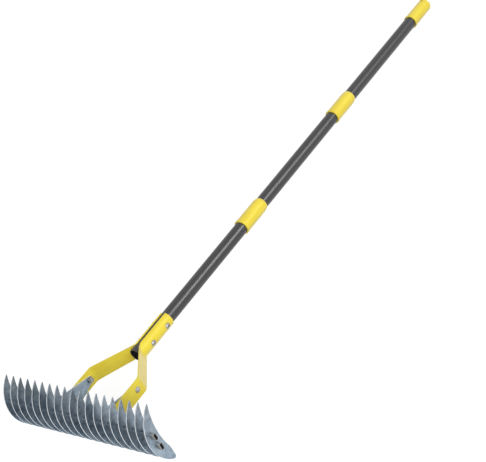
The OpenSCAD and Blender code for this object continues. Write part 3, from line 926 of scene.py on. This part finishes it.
fastener = {
    "shank": 3.0, "headRadius": 5.6, "headHeight": 3.2, "crown": 2.8, "rim": 0.25, "headSteps": 9,
    "socket": 4.0, "socketDepth": 1.8, "pitRadius": 0.3, "pitDrop": 0.2, "pitch": 1.0, "threadDepth": 0.28,
    "chamfer": 0.5, "shankPast": 1.5, "threadPast": 2.0, "longThreadPast": 4.0, "sides": 48,
}
nut = {
    "across": 10.0, "height": 5.0, "play": 0.05, "mouth": 0.4, "backMouth": 0.3, "faceTrim": 0.15,
    "cornerDrop": 0.08, "cornerAngle": 30.0, "tineGap": 0.3,
}
layOver = Matrix.Rotation(math.pi / 2, 4, "Y")


def hexRadius(acrossFlats):
    def radius(turn):
        return acrossFlats / 2 / math.cos((turn + math.pi / 6) % (math.pi / 3) - math.pi / 6)
    return radius


def boltMesh(shankLength, threadLength, socketed):
    shank = fastener["shank"]
    pitch = fastener["pitch"]
    root = shank - fastener["threadDepth"]
    end = -shankLength + fastener["chamfer"]
    rings = [(root - fastener["chamfer"], -shankLength), (root, end)]
    ridge = end + pitch / 2
    while ridge < -shankLength + threadLength:
        rings += [(shank, ridge), (root, ridge + pitch / 2)]
        ridge += pitch
    rings += [(shank, ridge), (shank, 0.0)]
    headRadius = fastener["headRadius"]
    headHeight = fastener["headHeight"]
    rim = fastener["rim"]
    drop = (headRadius ** 2 - headHeight ** 2 - fastener["crown"] ** 2) / (2 * headHeight)
    dome = math.hypot(headRadius, drop)
    rings += [(headRadius - rim, 0.0), (headRadius, rim)]
    for i in range(1, fastener["headSteps"] + 1):
        height = rim + (headHeight - rim) * math.sin(math.pi / 2 * i / fastener["headSteps"])
        rings.append((min(headRadius, math.sqrt(dome ** 2 - (height + drop) ** 2)), height))
    if socketed:
        socket = hexRadius(fastener["socket"])
        socketFloor = headHeight - fastener["socketDepth"]
        rings += [(lambda turn: socket(turn) + rim, headHeight), (socket, headHeight - rim)]
        rings += [(socket, socketFloor), (fastener["pitRadius"], socketFloor - fastener["pitDrop"])]
    form = turnedMesh("bolt", rings, fastener["sides"])
    form.transform(layOver)
    return form


def nutMesh():
    flat = nut["across"] / 2
    height = nut["height"]
    bore = fastener["shank"] + nut["play"]
    face = flat - nut["faceTrim"]
    shape = hexRadius(nut["across"])
    slope = math.tan(math.radians(nut["cornerAngle"]))

    # How far the chamfer takes a corner below the face
    def cornerDrop(turn):
        return nut["cornerDrop"] + (shape(turn) - flat) * slope

    rings = [
        (bore, -height + nut["mouth"]), (bore + nut["mouth"], -height), (face, -height),
        (shape, lambda turn: -height + cornerDrop(turn)), (shape, lambda turn: -cornerDrop(turn)),
        (face, 0.0), (bore + nut["backMouth"], 0.0), (bore, -nut["backMouth"]),
    ]
    form = turnedMesh("nut", rings, fastener["sides"], True)
    form.transform(layOver)
    return form


def addPair(name, node, mesh, start, step, turnStep, sharpAngle):
    pair = repeatMesh(mesh, zincHardware, 2, start, step, turnStep)
    settle(name, pair, zincHardware, "handle", [node], sharpAngle)


def addFasteners():
    past = nut["height"] + fastener["shankPast"]
    armOut = fork["stripX"] + fork["sheet"] / 2
    nutSeat = row["bracketStep"] * row["pitch"] - tine["thickness"] / 2 - nut["tineGap"]
    for name in ("pivot", "lock"):
        height = boltHeights[name]
        bolt = boltMesh(armOut - nutSeat + past, nut["height"] + fastener["threadPast"], False)
        step = (-2 * armOut, 0, 0)
        addPair(name + "Bolts", name + "_bolts", bolt, (armOut, 0, height), step, math.pi, sharp["bolt"])
        step = (-2 * nutSeat, 0, 0)
        addPair(name + "Nuts", name + "_nuts", nutMesh(), (nutSeat, 0, height), step, math.pi, sharp["nut"])
    sleeveOut = fork["sleeveInside"] + fork["sheet"]
    low = boltHeights["low"]
    step = (0, 0, handleBoltStep)
    bolt = boltMesh(2 * sleeveOut + past, nut["height"] + fastener["longThreadPast"], True)
    addPair("handleBolts", "handle_bolts", bolt, (sleeveOut, 0, low), step, 0.0, sharp["bolt"])
    addPair("handleNuts", "handle_nuts", nutMesh(), (-sleeveOut, 0, low), step, 0.0, sharp["nut"])


addFasteners()
print("bolts and nuts made")


# Camera, floor and light

view = {
    "lens": 91.45, "sensor": 36.0, "place": (1.65697, -1.41974, 1.33716), "aim": (-0.04255, -0.09935, 0.0),
    "roll": -30.1353,
}


def addCamera():
    data = bpy.data.cameras.new("photoView")
    data.lens = view["lens"]
    data.sensor_width = view["sensor"]
    camera = linkObject("photoView", data)
    place = Vector(view["place"])
    turn = (Vector(view["aim"]) - place).to_track_quat("-Z", "Y").to_matrix().to_4x4()
    roll = Matrix.Rotation(math.radians(view["roll"]), 4, "Z")
    camera.matrix_world = Matrix.Translation(place) @ turn @ roll
    scene.camera = camera


white = (1, 1, 1, 1)
studio = {"floorSize": 14.0, "floorGlow": 0.79, "floorAlbedo": 0.36, "bounce": 0.45, "skyLevel": 0.50}
lamps = [
    {"name": "keyLight", "place": (4.2, 3.0, 3.1), "size": 1.3, "power": 135.0},
    {"name": "fillLight", "place": (3.2, -3.0, 1.9), "size": 2.5, "power": 140.0},
]


# The camera and shiny surfaces see the white backdrop, other light doesn't
def seesBackdrop(tree):
    path = addNode(tree, "ShaderNodeLightPath").outputs
    mirrored = addMath(tree, "MAXIMUM", path["Is Glossy Ray"], path["Is Transmission Ray"])
    return addMath(tree, "MAXIMUM", path["Is Camera Ray"], mirrored)


def addFloor():
    mesh = bpy.data.meshes.new("floor")
    half = studio["floorSize"] / 2
    corners = [(-half, -half, 0), (half, -half, 0), (half, half, 0), (-half, half, 0)]
    mesh.from_pydata(corners, [], [(0, 1, 2, 3)])
    floor = linkObject("floor", mesh)
    material = bpy.data.materials.new("paleFloor")
    material.use_nodes = True
    tree = material.node_tree
    tree.nodes.remove(tree.nodes["Principled BSDF"])
    glow = addNode(tree, "ShaderNodeEmission", Color=white, Strength=studio["floorGlow"])
    lit = addNode(tree, "ShaderNodeBsdfDiffuse", Color=(*[studio["floorAlbedo"]] * 3, 1))
    shown = addNode(tree, "ShaderNodeAddShader", in0=glow.outputs[0], in1=lit.outputs[0])
    bounce = addNode(tree, "ShaderNodeBsdfDiffuse", Color=(*[studio["bounce"]] * 3, 1))
    seen = seesBackdrop(tree)
    both = addNode(tree, "ShaderNodeMixShader", Fac=seen, in1=bounce.outputs[0], in2=shown.outputs[0])
    tree.links.new(both.outputs[0], tree.nodes["Material Output"].inputs["Surface"])
    mesh.materials.append(material)


def addWorld():
    world = bpy.data.worlds.new("studio")
    scene.world = world
    world.use_nodes = True
    tree = world.node_tree
    background = tree.nodes["Background"]
    background.inputs["Color"].default_value = white
    level = addRange(tree, seesBackdrop(tree), 0.0, 1.0, studio["skyLevel"], 1.0)
    tree.links.new(level, background.inputs["Strength"])


def addLamps():
    for lamp in lamps:
        data = bpy.data.lights.new(lamp["name"], "AREA")
        data.size = lamp["size"]
        data.energy = lamp["power"]
        light = linkObject(lamp["name"], data)
        light.location = lamp["place"]
        light.rotation_euler = (-light.location).to_track_quat("-Z", "Y").to_euler()


addCamera()
addFloor()
addWorld()
addLamps()
scene.view_settings.view_transform = "Standard"
print("camera, floor and light set")
